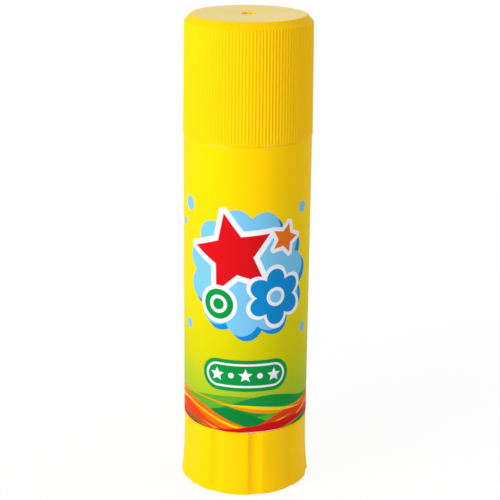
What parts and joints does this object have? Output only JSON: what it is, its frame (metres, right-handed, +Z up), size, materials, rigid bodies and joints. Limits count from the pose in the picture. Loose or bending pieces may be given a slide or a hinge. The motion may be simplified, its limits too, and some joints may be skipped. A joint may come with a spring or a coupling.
{
  "type": "glue stick",
  "caption": "Round glue stick: a ribbed push-on cap over a labelled barrel, with a fluted base that turns to raise the stick of glue on a lead screw.",
  "frame": {"origin": "middle of the foot, on the surface that the stick stands on", "axes": "+Z up the stick's axis towards the cap; -Y towards the front of the label"},
  "size_m": [0.0272, 0.0272, 0.0985],
  "materials": {
    "cap_plastic": "yellow moulded polypropylene, satin gloss",
    "base_plastic": "yellow moulded polypropylene, satin gloss",
    "barrel_plastic": "yellow moulded polypropylene",
    "label_film": "printed plastic film, yellow ground with coloured shapes",
    "screw_plastic": "natural white polypropylene",
    "carrier_plastic": "natural white polyethylene",
    "glue_stick": "white solid adhesive, waxy"
  },
  "bodies": {
    "barrel": {"barrel": "barrel_plastic", "label": "label_film"},
    "twist_base": {"twist_base": "base_plastic", "spindle": "screw_plastic"},
    "carrier": {"carrier": "carrier_plastic", "glue": "glue_stick"},
    "cap": {"cap": "cap_plastic"}
  },
  "joints": [
    {"name": "base_turn", "type": "hinge", "parent": "barrel", "child": "twist_base", "pos_m": [0, 0, 0.014], "axis": [0, 0, 1], "range_deg": [0, 3456]},
    {"name": "glue_rise", "type": "slide", "parent": "barrel", "child": "carrier", "axis": [0, 0, 1], "range_m": [0, 0.0576]},
    {"name": "cap_pull", "type": "slide", "parent": "carrier", "child": "cap", "axis": [0, 0, 1], "range_m": [0, 0.03]}
  ],
  "couplings": [
    {"joint": "base_turn", "follows": "glue_rise", "rad_per_m": 1047.2}
  ]
}
